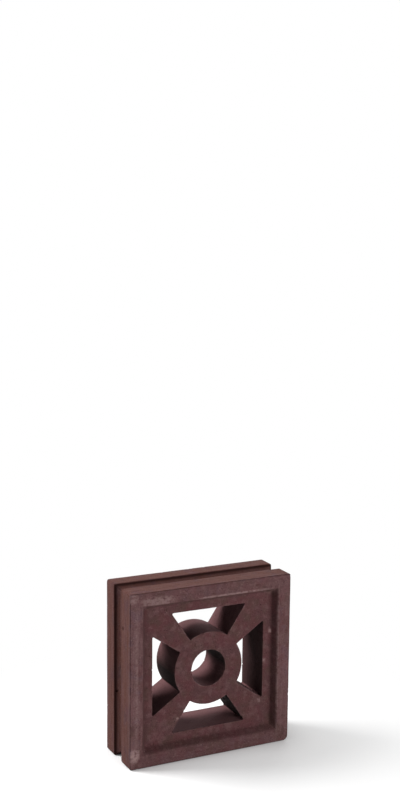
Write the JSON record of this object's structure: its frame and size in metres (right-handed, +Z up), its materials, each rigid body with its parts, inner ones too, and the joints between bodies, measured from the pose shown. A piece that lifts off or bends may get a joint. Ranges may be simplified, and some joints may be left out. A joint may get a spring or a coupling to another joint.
{
  "type": "decorative screen block",
  "caption": "Square pierced concrete screen block: a bevelled recessed panel each side, a central ring on four flared diagonal spokes, and a mortar groove round the edges.",
  "frame": {"origin": "middle of the footprint, on the ground under the block's lower edge face", "axes": "+Z up, the viewer's face towards -Y, +X to the viewer's right"},
  "size_m": [0.3, 0.1, 0.3],
  "materials": {
    "pigmented_concrete": "smooth cast pigmented concrete, matte"
  },
  "bodies": {
    "root": {"screen_block": "pigmented_concrete"}
  },
  "joints": []
}
